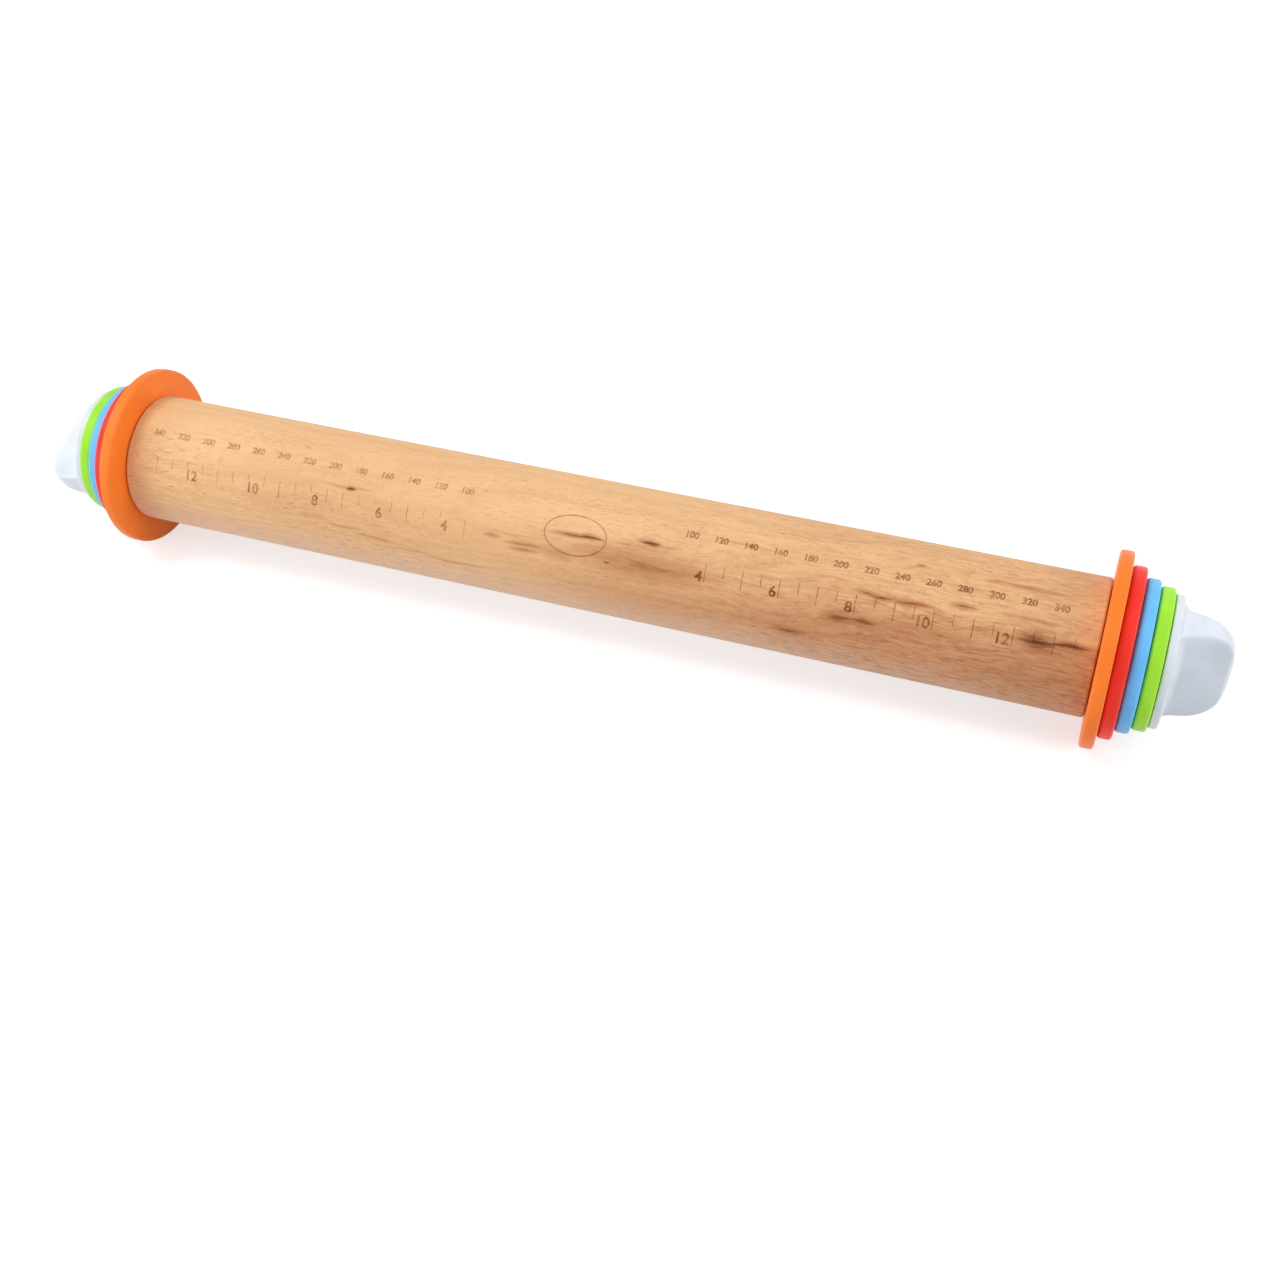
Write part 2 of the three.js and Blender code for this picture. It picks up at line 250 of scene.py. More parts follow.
def mesh_of(name, points, faces, weld=False):
    """A closed mesh with its faces turned outwards. Points that meet are joined if weld is set."""
    mesh = bpy.data.meshes.new(name)
    mesh.from_pydata(points, [], faces)
    solid = bmesh.new()
    solid.from_mesh(mesh)
    if weld:
        bmesh.ops.remove_doubles(solid, verts=solid.verts, dist=WELD_REACH)
    bmesh.ops.recalc_face_normals(solid, faces=solid.faces)
    solid.to_mesh(mesh)
    solid.free()
    return mesh


def band(here, there, count):
    """Faces between two closed rows of points, given by the number of each row's first point."""
    return [
        (here + i, here + (i + 1) % count, there + (i + 1) % count, there + i)
        for i in range(count)
    ]


def on_axis(x, radius, angle):
    """A point at a radius round the pin's axis. The angle 0 points along +Y."""
    return (x, radius * math.cos(angle), AXIS_HEIGHT + radius * math.sin(angle))


def arc_of(elevation):
    """The arc length round the barrel up to an elevation in degrees."""
    return math.radians(elevation) * BARREL_RADIUS


def rounded(corners):
    """Turns (x, radius, fillet) corners of a closed outline into points, with arcs at the fillets."""
    points = []
    count = len(corners)
    for i, (x, radius, fillet) in enumerate(corners):
        corner = Vector((x, radius))
        if fillet == 0:
            points.append(corner)
            continue
        before = (Vector(corners[i - 1][:2]) - corner).normalized()
        after = (Vector(corners[(i + 1) % count][:2]) - corner).normalized()
        half = before.angle(after) / 2
        reach = fillet / math.tan(half)
        centre = corner + (before + after).normalized() * fillet / math.sin(half)
        start = corner + before * reach - centre
        end = corner + after * reach - centre
        sweep = start.angle(end)
        for step in range(FILLET_STEPS + 1):
            share = step / FILLET_STEPS
            near = math.sin((1 - share) * sweep) / math.sin(sweep)
            far = math.sin(share * sweep) / math.sin(sweep)
            points.append(centre + start * near + end * far)
    return points


def turned(name, outline, sides, weld=False):
    """A closed outline of (x, radius) points, turned about the pin's axis."""
    count = len(outline)
    points = [
        on_axis(x, radius, 2 * math.pi * side / sides)
        for side in range(sides)
        for x, radius in outline
    ]
    faces = []
    for side in range(sides):
        faces += band(side * count, (side + 1) % sides * count, count)
    return mesh_of(name, points, faces, weld)


# Node helpers

# Sockets of a mix node that mixes colours, by number, because several of them share a name
MIX_SHARE, MIX_FIRST, MIX_SECOND = 0, 6, 7
MIX_RESULT = 2


class Finish:
    """A procedural material with one principled surface, built in object coordinates."""

    def __init__(self, name):
        self.material = bpy.data.materials.new(name)
        self.material.use_nodes = True
        self.tree = self.material.node_tree
        self.surface = self.tree.nodes["Principled BSDF"]
        self.place = self.add("ShaderNodeTexCoord").outputs["Object"]

    def add(self, kind, inputs=None, **settings):
        node = self.tree.nodes.new(kind)
        for name, value in settings.items():
            setattr(node, name, value)
        for name, value in (inputs or {}).items():
            self.feed(node.inputs[name], value)
        return node

    def feed(self, socket, value):
        if isinstance(value, bpy.types.NodeSocket):
            self.tree.links.new(value, socket)
        else:
            socket.default_value = value

    def math(self, operation, *values):
        node = self.add("ShaderNodeMath", operation=operation)
        for socket, value in zip(node.inputs, values):
            self.feed(socket, value)
        return node.outputs["Value"]

    def vector_math(self, operation, first, second, output="Vector"):
        node = self.add("ShaderNodeVectorMath", {0: first, 1: second}, operation=operation)
        return node.outputs[output]

    def noise(self, name):
        """One of the noises that are listed in NOISES."""
        scale, detail, roughness = NOISES[name]
        place = self.add("ShaderNodeMapping", {"Vector": self.place, "Scale": scale})
        inputs = {"Vector": place.outputs["Vector"], "Scale": 1.0}
        inputs |= {"Detail": detail, "Roughness": roughness}
        return self.add("ShaderNodeTexNoise", inputs).outputs["Fac"]

    def span(self, value, low, high, to_low=0.0, to_high=1.0):
        """A value's way from low to high, held between them, as the way from to_low to to_high."""
        inputs = {"Value": value, "From Min": low, "From Max": high}
        inputs |= {"To Min": to_low, "To Max": to_high}
        return self.add("ShaderNodeMapRange", inputs).outputs["Result"]

    def blend(self, share, first, second, blend_type="MIX"):
        inputs = {MIX_SHARE: share, MIX_FIRST: first, MIX_SECOND: second}
        node = self.add("ShaderNodeMix", inputs, data_type="RGBA", blend_type=blend_type)
        return node.outputs[MIX_RESULT]

    def bump(self, height, distance, strength):
        inputs = {"Height": height, "Distance": distance, "Strength": strength}
        normal = self.add("ShaderNodeBump", inputs).outputs["Normal"]
        self.feed(self.surface.inputs["Normal"], normal)

    def set(self, colour, roughness, specular=0.5):
        self.feed(self.surface.inputs["Base Color"], colour)
        self.feed(self.surface.inputs["Roughness"], roughness)
        self.feed(self.surface.inputs["Specular IOR Level"], specular)


def rgb(red, green, blue):
    return (red, green, blue, 1)


# Noises: waves per metre along each axis, detail and roughness
NOISES = {
    "tone_clouds": ((7, 40, 40), 4.0, 0.6),
    "growth_wander": ((9, 30, 30), 3.0, 0.5),
    "growth_wobble": ((38, 210, 210), 2.0, 0.5),
    "grain_wave": ((26, 45, 45), 2.0, 0.5),
    "fibres": ((75, 1300, 1300), 3.0, 0.65),
    "flecks": ((230, 850, 850), 3.0, 0.65),
    "pores": ((330, 3000, 3000), 2.0, 0.55),
    "pore_patches": ((18, 90, 90), 2.0, 0.5),
    "streak_edge": ((150, 1100, 1100), 3.0, 0.65),
    "streak_bend": ((55, 0, 0), 1.0, 0.5),
    "burn_depth": ((420, 420, 420), 2.0, 0.5),
    "mould_clouds": ((70, 70, 70), 3.0, 0.5),
    "mould_texture": ((2600, 2600, 2600), 2.0, 0.5),
    "brushing": ((400, 3200, 3200), 3.0, 0.5),
    "stains": ((300, 300, 300), 2.0, 0.5),
}

# Spans that those noises and the places on the barrel are read with: low, high, and what these
# two stand for, which is 0 and 1 where it isn't given
SPANS = {
    "tone_clouds": (0.25, 0.75, -0.05, 0.55),
    "tone_along": (-BARREL_END, BARREL_END, -0.18, 0.05),
    # The tone read off the height over the axis is painted shade: darker towards the bottom, lighter
    # on top.
    "painted_shade_up": (-BARREL_RADIUS, BARREL_RADIUS, 0.22, -0.14),
    "growth_line": (-0.2, 1.0, 0.0, 0.10),
    "grain_wave": (0.2, 0.8, -1.6 * MM, 1.6 * MM),
    "fibres": (0.42, 0.72, 0.0, 0.15),
    "flecks": (0.48, 0.70, 0.0, 0.15),
    "pores": (0.57, 0.70),
    "pore_patches": (0.35, 0.65, 0.15, 0.55),
    "streak_red": (0.0, 0.75, 0.0, 0.85),
    "streak_core": (0.54, 0.92, 0.0, 0.92),
    "wood_roughness": (0.0, 1.0, 0.66, 0.50),
    "burn_depth": (0.34, 0.66),
    "mould_tint": (0.32, 0.68),
    "mould_gloss": (0.3, 0.7),
    "stains": (0.35, 0.65),
    "steel_roughness": (0.3, 0.7, 0.24, 0.42),
}

# Zones of the barrel: a span along it times a span of the height over its axis. The first three are
# painted shade low on the front, a painted reflection of the pale floor underneath and painted shade
# at the right end; the last also paints light on top by fading the grain.
ZONES = {
    # Painted shade, low on the front towards the right.
    "painted_shade_front": ((-32 * MM, 100 * MM, 0.0, 1.0), (19 * MM, 6 * MM, 0.0, 0.80)),
    # A painted reflection of the pale floor on the underside.
    "painted_floor_reflection": ((60 * MM, 160 * MM, 1.0, 0.6), (1 * MM, -12 * MM, 0.0, 0.7)),
    # Painted shade, low at the right end.
    "painted_shade_end": ((125 * MM, 160 * MM, 0.0, 1.0), (14 * MM, 2 * MM, 0.0, 1.0)),
    # How strongly the grain shows: stronger to the right, and fainter on top, which paints light
    # there.
    "grain_strength_and_painted_light": ((10 * MM, 110 * MM, 1.0, 3.6), (12 * MM, 20 * MM, 1.0, 0.65)),
}

# How far bumps stand out, and how strongly they shade
BUMPS = {
    "wood": (0.05 * MM, 0.5),
    "burnt": (0.04 * MM, 0.4),
    "mould": (0.02 * MM, 0.35),
    "steel": (0.01 * MM, 0.4),
}


# Beech

LIGHT_BEECH = rgb(0.85, 0.515, 0.25)
DARK_BEECH = rgb(0.66, 0.315, 0.145)
# The paler colour is a painted reflection of the pale floor, blended in on the underside.
PAINTED_REFLECTION_BEECH = rgb(0.90, 0.63, 0.45)
FIBRE_SHADE = rgb(0.55, 0.36, 0.25)
# A painted shade, multiplied in low at the right end.
PAINTED_END_SHADE = rgb(0.89, 0.87, 0.85)
PORE_BROWN = rgb(0.33, 0.135, 0.06)
STREAK_RED = rgb(0.40, 0.13, 0.04)
STREAK_CORE = rgb(0.085, 0.022, 0.006)
BURNT_BROWN = rgb(0.15, 0.034, 0.006)
WOOD_SPECULAR = 0.2
BURNT_ROUGHNESS = 0.75
BURNT_SPECULAR = 0.05

# Growth lines: the place of the line that they run round, in Y and in height over the axis, how
# far they wander, their waves in radians per metre, and the radians that they wobble by
GROWTH_HEART = (48 * MM, -62 * MM, 0)
GROWTH_WANDER = 30 * MM
GROWTH_WAVES = 2600.0
GROWTH_WOBBLE = 5.0

# How much a pore is sunk, as a share of the height of the fibres
PORE_SINK = 0.8

# Streaks bend by up to half of STREAK_BEND, and their edges are ragged. A streak is full at the
# reach STREAK_FULL and has faded out at STREAK_GONE, where 1 is its own length and width.
STREAK_BEND = 2.4 * MM
STREAK_RAGGED = 1.3
STREAK_FULL = 0.55
STREAK_GONE = 2.2

# Mineral streaks, then soft tints and lines of growth that stand out: the place along X in mm,
# the elevation in degrees, half the length and half the width in mm, and the strength
STREAKS = [
    (0.5, 41.8, 9.5, 1.00, 0.84),
    (5.2, 42.4, 5.5, 1.10, 0.92),
    (-17, 25.9, 8.0, 1.10, 0.72),
    (-5.5, 24.7, 9.5, 2.00, 0.52),
    (-17, 21.6, 6.0, 1.00, 0.62),
    (-29, 27.8, 4.0, 0.90, 0.66),
    (-22, 32.5, 9.0, 0.40, 0.30),
    (25.9, 48.9, 4.8, 1.35, 0.95),
    (31, 48.0, 6.0, 0.85, 0.45),
    (18, 43.2, 3.0, 0.70, 0.55),
    (12.3, 25.2, 1.8, 0.75, 0.85),
    (24, 29, 26, 5.6, 0.66),
    (20, 0, 30, 8.0, 0.16),
    (24, 43.5, 12, 2.0, 0.36),
    (-83, 43.2, 2.4, 0.95, 1.0),
    (-84, 43.9, 9.0, 0.55, 0.50),
    (58, 63.2, 12, 0.50, 0.45),
    (99, 43.6, 5.0, 0.85, 0.80),
    (104, 42.6, 5.5, 0.95, 0.84),
    (113.5, 41.6, 7.5, 1.05, 0.84),
    (129.5, 48.4, 5.0, 1.00, 0.74),
    (91.5, 19.0, 6.5, 2.10, 0.84),
    (100, 20.2, 6.0, 1.85, 0.90),
    (75.7, -2.4, 6.5, 2.00, 0.76),
    (153.5, 33.1, 7.5, 3.30, 1.0),
    (163, 34.2, 9.0, 1.3, 1.0),
    (160, 31, 16, 3.4, 0.50),
    (147, 75, 14, 0.90, 0.66),
    (128, 64, 14, 0.50, 0.35),
    (112, 22, 18, 3.0, 0.30),
    (113.5, 75.5, 1.9, 0.75, 0.70),
    (150, 48.5, 10, 0.75, 0.50),
    (122, 24, 13, 0.80, 0.36),
    (-62, 27, 45, 8.0, 0.10),
    (-108, 18, 18, 4.0, 0.17),
    (-160, -14, 22, 7.0, 0.12),
    (-96, 12, 8.0, 0.60, 0.30),
    (-84, 8.5, 8.0, 0.65, 0.40),
    (-72, 3.5, 8.0, 0.65, 0.40),
    (-59, -2.0, 10, 0.60, 0.36),
    (-43, -4.5, 12, 0.60, 0.36),
]


def zone(finish, x, up, name):
    """The share that a zone of the barrel gives to a point."""
    along_span, up_span = ZONES[name]
    return finish.math("MULTIPLY", finish.span(x, *along_span), finish.span(up, *up_span))


def broad_tone(finish, x, up):
    """The wood's colour, browner to the right, with painted shade that darkens it towards the bottom,
    low on the front and at the right end, and a painted reflection of the pale floor underneath.
    """
    tone_and_shade = finish.span(finish.noise("tone_clouds"), *SPANS["tone_clouds"])
    tone_and_shade = finish.math("ADD", tone_and_shade, finish.span(x, *SPANS["tone_along"]))
    # Painted shade: the tone darkens towards the bottom and lightens on top.
    tone_and_shade = finish.math("ADD", tone_and_shade, finish.span(up, *SPANS["painted_shade_up"]))
    # Painted shade darkens the wood low on the front towards the right.
    tone_and_shade = finish.math("ADD", tone_and_shade, zone(finish, x, up, "painted_shade_front"))
    base = finish.blend(tone_and_shade, LIGHT_BEECH, DARK_BEECH)
    # A painted reflection of the pale floor lightens the underside.
    base = finish.blend(zone(finish, x, up, "painted_floor_reflection"), base, PAINTED_REFLECTION_BEECH)
    # Painted shade darkens the right end low down.
    return finish.blend(zone(finish, x, up, "painted_shade_end"), base, PAINTED_END_SHADE, "MULTIPLY")


def growth_lines(finish, base, y, up):
    """Darkens the colour by the distance from a line beside the barrel."""
    wander = finish.math("MULTIPLY", finish.noise("growth_wander"), GROWTH_WANDER)
    across = finish.math("ADD", y, wander)
    flat = finish.add("ShaderNodeCombineXYZ", {"X": across, "Y": up}).outputs["Vector"]
    distance = finish.vector_math("DISTANCE", flat, GROWTH_HEART, "Value")
    phase = finish.math("MULTIPLY", distance, GROWTH_WAVES)
    wobble = finish.math("MULTIPLY", finish.noise("growth_wobble"), GROWTH_WOBBLE)
    line = finish.math("SINE", finish.math("ADD", phase, wobble))
    share = finish.span(line, *SPANS["growth_line"])
    return finish.blend(share, base, FIBRE_SHADE, "MULTIPLY")


def grain(finish, base, x, up):
    """Adds fibres, short flecks and fine pores. Returns the colour and the grain's height."""
    # The grain is stronger to the right and fainter on top, where the fading is painted light.
    grain_strength_and_painted_light = zone(finish, x, up, "grain_strength_and_painted_light")
    fibres = finish.noise("fibres")
    flecks = finish.noise("flecks")
    for name, texture in (("fibres", fibres), ("flecks", flecks)):
        share = finish.math("MULTIPLY", finish.span(texture, *SPANS[name]), grain_strength_and_painted_light)
        base = finish.blend(share, base, FIBRE_SHADE, "MULTIPLY")
    pores = finish.span(finish.noise("pores"), *SPANS["pores"])
    patches = finish.span(finish.noise("pore_patches"), *SPANS["pore_patches"])
    pores = finish.math("MULTIPLY", pores, patches)
    base = finish.blend(pores, base, PORE_BROWN)
    height = finish.math("SUBTRACT", fibres, finish.math("MULTIPLY", pores, PORE_SINK))
    return base, height


def streak_mask(finish, x, around):
    """How far a point lies inside a streak, each a feathered lens drawn out along the grain."""
    ragged = finish.math("MULTIPLY", finish.noise("streak_edge"), STREAK_RAGGED)
    bend = finish.math("SUBTRACT", finish.noise("streak_bend"), 0.5)
    around = finish.math("ADD", around, finish.math("MULTIPLY", bend, STREAK_BEND))
    deepest = 0.0
    for along, elevation, half_length, half_width, strength in STREAKS:
        off_x = finish.math("SUBTRACT", x, along * MM)
        off_x = finish.math("POWER", finish.math("DIVIDE", off_x, half_length * MM), 2.0)
        off_around = finish.math("SUBTRACT", around, arc_of(elevation))
        off_around = finish.math("DIVIDE", off_around, half_width * MM)
        reach = finish.math("ADD", off_x, finish.math("ABSOLUTE", off_around))
        reach = finish.math("ADD", reach, ragged)
        mark = finish.span(reach, STREAK_FULL, STREAK_GONE, strength, 0.0)
        deepest = finish.math("MAXIMUM", deepest, mark)
    return deepest


def beech_colour(finish):
    """Returns the wood's colour, with its painted shade and painted reflection, and a height for its
    grain. From the grain on, the noises of this material are read at places that sway, so that the
    fibres do."""
    x, y, z = finish.add("ShaderNodeSeparateXYZ", {"Vector": finish.place}).outputs
    up = finish.math("SUBTRACT", z, AXIS_HEIGHT)
    elevation = finish.math("ARCTAN2", up, finish.math("MULTIPLY", y, -1.0))
    around = finish.math("MULTIPLY", elevation, BARREL_RADIUS)
    base = growth_lines(finish, broad_tone(finish, x, up), y, up)

    wave = finish.span(finish.noise("grain_wave"), *SPANS["grain_wave"])
    sway = finish.add("ShaderNodeCombineXYZ", {"Y": wave, "Z": wave}).outputs["Vector"]
    finish.place = finish.vector_math("ADD", finish.place, sway)
    base, height = grain(finish, base, x, up)

    streaks = streak_mask(finish, x, around)
    base = finish.blend(finish.span(streaks, *SPANS["streak_red"]), base, STREAK_RED)
    base = finish.blend(finish.span(streaks, *SPANS["streak_core"]), base, STREAK_CORE)
    return base, height


def beech():
    finish = Finish("oiled_beech")
    colour, height = beech_colour(finish)
    finish.set(colour, finish.span(height, *SPANS["wood_roughness"]), WOOD_SPECULAR)
    finish.bump(height, *BUMPS["wood"])
    return finish.material


def engraving(name, faintest, darkest):
    """Burnt marks: the wood's colour, with its painted shade and painted reflection, darkened
    unevenly.
    """
    finish = Finish(name)
    colour, height = beech_colour(finish)
    share = finish.span(finish.noise("burn_depth"), *SPANS["burn_depth"], faintest, darkest)
    burnt_colour = finish.blend(share, colour, BURNT_BROWN)
    finish.set(burnt_colour, BURNT_ROUGHNESS, BURNT_SPECULAR)
    finish.bump(height, *BUMPS["burnt"])
    return finish.material


# Plastics and steel

# The colour, roughness and specular level of each plastic
PLASTICS = {
    "white": ((0.72, 0.755, 0.795), 0.34, 0.3),
    "grey": ((0.32, 0.35, 0.38), 0.45, 0.3),
    "orange": ((1.0, 0.212, 0.022), 0.4, 0.14),
    "red": ((0.96, 0.042, 0.025), 0.4, 0.14),
    "blue": ((0.160, 0.55, 0.99), 0.4, 0.14),
    "green": ((0.37, 0.80, 0.040), 0.4, 0.14),
}

# The lighter and darker clouds in a plastic: the lighter colour is scaled and lifted, and the
# darker one scaled. The roughness falls by the first part of the spread and rises by the second.
CLOUD_LIGHT = 1.06
CLOUD_LIFT = 0.006
CLOUD_DARK = 0.94
CLOUD_GLOSS = (0.04, 0.05)

STEEL_DULL = rgb(0.56, 0.57, 0.58)
STEEL_BRIGHT = rgb(0.68, 0.68, 0.66)


def plastic(name, colour, roughness, specular):
    """Satin moulded plastic: fine mould texture, faint clouding and slightly uneven gloss."""
    finish = Finish(name)
    clouds = finish.noise("mould_clouds")
    light = rgb(*(min(1, channel * CLOUD_LIGHT + CLOUD_LIFT) for channel in colour))
    dark = rgb(*(channel * CLOUD_DARK for channel in colour))
    tint = finish.blend(finish.span(clouds, *SPANS["mould_tint"]), dark, light)
    smoothest, roughest = roughness - CLOUD_GLOSS[0], roughness + CLOUD_GLOSS[1]
    gloss = finish.span(clouds, *SPANS["mould_gloss"], smoothest, roughest)
    finish.set(tint, gloss, specular)
    finish.bump(finish.noise("mould_texture"), *BUMPS["mould"])
    return finish.material


def steel():
    finish = Finish("zinc_plated_steel")
    brushing = finish.noise("brushing")
    stains = finish.span(finish.noise("stains"), *SPANS["stains"])
    tint = finish.blend(stains, STEEL_DULL, STEEL_BRIGHT)
    finish.set(tint, finish.span(brushing, *SPANS["steel_roughness"]))
    finish.surface.inputs["Metallic"].default_value = 1.0
    finish.bump(brushing, *BUMPS["steel"])
    return finish.material


def paint_node(name, material):
    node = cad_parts[name]
    node.data.materials.clear()
    node.data.materials.append(material)


# Camera

def make_camera():
    camera = bpy.data.objects.new("camera", bpy.data.cameras.new("camera"))
    camera.data.sensor_width = SENSOR / MM
    camera.data.lens = FOCAL_PIXELS / PHOTO_SIZE * SENSOR / MM
    camera.data.clip_start, camera.data.clip_end = CAMERA_CLIP
    camera.location = CAMERA_PLACE
    camera.rotation_euler = [math.radians(angle) for angle in CAMERA_TURN]
    scene.collection.objects.link(camera)
    scene.camera = camera


# Barrel

def make_barrel(material):
    bore = BARREL_END - BORE_DEPTH
    collar = BARREL_END - COLLAR_DEPTH
    half = [
        (bore, 0, 0),
        (bore, BORE_RADIUS, 0),
        (collar, BORE_RADIUS, 0),
        (collar, COLLAR_RADIUS, 0),
        (BARREL_END, COLLAR_RADIUS, 0),
        (BARREL_END, BARREL_RADIUS, BARREL_EDGE),
    ]
    mirrored = [(-x, radius, fillet) for x, radius, fillet in half]
    outline = rounded(mirrored + half[::-1])
    mesh = turned("barrel_wood", outline, BARREL_SIDES, weld=True)
    piece = add_object("barrel_wood", mesh, material)
    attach(piece, "barrel")
    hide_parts("barrel")


# Scales: the marks are laid out flat, with the arc length along Y, and then wrapped round

def flat_box(solid, x, width, low, high):
    centre = Vector((x, (low + high) / 2, 0))
    size = Matrix.Diagonal((width, high - low, 2 * FLAT_HALF, 1))
    bmesh.ops.create_cube(solid, size=1, matrix=Matrix.Translation(centre) @ size)


def flat_text(solid, text, x, arc, size, bold, align="CENTER"):
    """Adds a figure. Its curve is made in millimetres, and its mesh is scaled to metres."""
    curve = bpy.data.curves.new("figure", "FONT")
    curve.body = text
    curve.size = size / MM
    curve.offset = bold / MM
    curve.align_x = align
    curve.align_y = "CENTER"
    curve.extrude = FLAT_HALF
    curve.resolution_u = FIGURE_SMOOTHNESS
    figure = bpy.data.objects.new("figure", curve)
    scene.collection.objects.link(figure)
    evaluated = figure.evaluated_get(bpy.context.evaluated_depsgraph_get())
    mesh = bpy.data.meshes.new_from_object(evaluated)
    mesh.transform(Matrix.Translation((x, arc, 0)) @ Matrix.Diagonal((MM, MM, 1, 1)))
    solid.from_mesh(mesh)
    bpy.data.meshes.remove(mesh)
    bpy.data.objects.remove(figure)
    bpy.data.curves.remove(curve)


def flat_oval(solid, arc):
    inner, outer = [], []
    for side in range(OVAL_SIDES):
        angle = 2 * math.pi * side / OVAL_SIDES
        for loop, grow in ((inner, -OVAL_LINE), (outer, OVAL_LINE)):
            x = (OVAL_WIDTH + grow) / 2 * math.cos(angle)
            y = arc + (OVAL_HEIGHT + grow) / 2 * math.sin(angle)
            loop.append([solid.verts.new((x, y, level)) for level in (-FLAT_HALF, FLAT_HALF)])
    for side in range(OVAL_SIDES):
        there = (side + 1) % OVAL_SIDES
        for near, far in ((outer[side], outer[there]), (inner[there], inner[side])):
            solid.faces.new((near[0], far[0], far[1], near[1]))
        corners = (inner[side], outer[side], outer[there], inner[there])
        solid.faces.new([corner[1] for corner in corners])
        solid.faces.new([corner[0] for corner in reversed(corners)])


def wrap_marks(name, solid, material):
    """Cuts the flat marks into short steps, wraps them round the barrel and makes the piece."""
    low = min(vertex.co.y for vertex in solid.verts)
    high = max(vertex.co.y for vertex in solid.verts)
    for cut in range(1, int((high - low) / MARK_CUT) + 1):
        bmesh.ops.bisect_plane(
            solid,
            geom=solid.verts[:] + solid.edges[:] + solid.faces[:],
            dist=MARK_CUT_SLACK,
            plane_co=(0, low + cut * MARK_CUT, 0),
            plane_no=(0, 1, 0),
        )
    for vertex in solid.verts:
        x, arc, level = vertex.co
        radius = BARREL_RADIUS + (MARK_PROUD if level > 0 else -MARK_DEPTH)
        vertex.co = on_axis(x, radius, math.pi - arc / BARREL_RADIUS)
    bmesh.ops.recalc_face_normals(solid, faces=solid.faces)
    mesh = bpy.data.meshes.new(name)
    solid.to_mesh(mesh)
    solid.free()
    piece = add_object(name, mesh, material)
    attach(piece, "barrel")


def slant(places, x, elevation):
    """The arc length of an elevation, with the drift of its scale."""
    return arc_of(elevation + places["drift"] * abs(x))


def make_mm_scale(side, burnt):
    places = SCALES[side]
    ticks, figures = bmesh.new(), bmesh.new()
    for i, number in enumerate(MM_FIGURES):
        step = math.copysign(i * MM_STEP, places["mm_tick"])
        x = places["mm_tick"] + step
        top = slant(places, x, places["mm_tick_elevation"])
        flat_box(ticks, x, MM_TICK_WIDTH, top - MM_TICK_LENGTH, top)
        x = places["mm_figure"] + step
        middle = slant(places, x, places["mm_figure_elevation"])
        flat_text(figures, str(number), x, middle, MM_FIGURE_SIZE, MM_FIGURE_BOLD)
    wrap_marks(f"mm_ticks_{side}", ticks, burnt[places["burns"]["mm_ticks"]])
    wrap_marks(f"mm_figures_{side}", figures, burnt[places["burns"]["mm_figures"]])


def make_inch_scale(side, burnt):
    places = SCALES[side]
    ticks, figures = bmesh.new(), bmesh.new()
    for half in range(round((places["inch_last"] - INCH_FIRST) * 2) + 1):
        number = INCH_FIRST + half / 2
        x = places["inch_tick"] + places["inch_step"] * half / 2
        top = slant(places, x, places["inch_tick_elevation"])
        length = "long" if number % 2 == 1 else "short"
        if number % 2 == 0:
            length = places["even_inches"]
            middle = slant(places, x, places["inch_figure_elevation"])
            figure_x = x + places["inch_figure"]
            text, align = f"{number:.0f}", places["inch_align"]
            flat_text(figures, text, figure_x, middle, INCH_FIGURE_SIZE, INCH_FIGURE_BOLD, align)
        flat_box(ticks, x, INCH_TICK_WIDTH, top - INCH_TICK_LENGTHS[length], top)
    if side == "left":
        top = arc_of(LOOSE_TICK["elevation"])
        flat_box(ticks, LOOSE_TICK["x"], INCH_TICK_WIDTH, top - LOOSE_TICK["length"], top)
    wrap_marks(f"inch_ticks_{side}", ticks, burnt[places["burns"]["inch_ticks"]])
    wrap_marks(f"inch_figures_{side}", figures, burnt[places["burns"]["inch_figures"]])


def make_oval(material):
    solid = bmesh.new()
    flat_oval(solid, arc_of(OVAL_ELEVATION))
    wrap_marks("oval_mark", solid, material)


# Rings

def make_ring(colour, side, material):
    node = f"ring_{colour}_{side}"
    low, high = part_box(node)
    radius = (high.z - low.z) / 2
    outline = rounded([
        (low.x, RING_BORE_RADIUS, RING_BORE_EDGE),
        (low.x, radius, RING_EDGE),
        (high.x, radius, RING_EDGE),
        (high.x, RING_BORE_RADIUS, RING_BORE_EDGE),
    ])
    mesh = turned(node, outline, RING_SIDES)
    piece = add_object(f"{node}_moulded", mesh, material, MOULDED_SHARP_ANGLE)
    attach(piece, node)
    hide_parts(node)


# Knobs

def knob_dome_radius(along):
    """Radius of the rounded outline that the wing is cut from."""
    share = max(0, (along - KNOB_WING_STRAIGHT) / (KNOB_HEIGHT - KNOB_WING_STRAIGHT))
    return KNOB_WING_RADIUS * max(0, 1 - share ** KNOB_ROUNDNESS) ** (1 / KNOB_ROUNDNESS)


def knob_half_thickness(along):
    """Half the wing's thickness, which tapers from foot to nose and ends in a round."""
    share = (along - KNOB_FOOT_HEIGHT) / (KNOB_HEIGHT - KNOB_FOOT_HEIGHT)
    taper = (KNOB_FOOT_THICKNESS + (KNOB_NOSE_THICKNESS - KNOB_FOOT_THICKNESS) * share) / 2
    nose = max(0, 1 - (KNOB_HEIGHT - along) / KNOB_NOSE_ROUND)
    return taper * math.sqrt(max(0, 1 - nose * nose))


def quarter_rise(share):
    """How far a quarter circle of radius 1 has risen from its flat end, at a share of its length."""
    inside = min(max(share, 0), 1)
    return 1 - math.sqrt(1 - inside * inside)


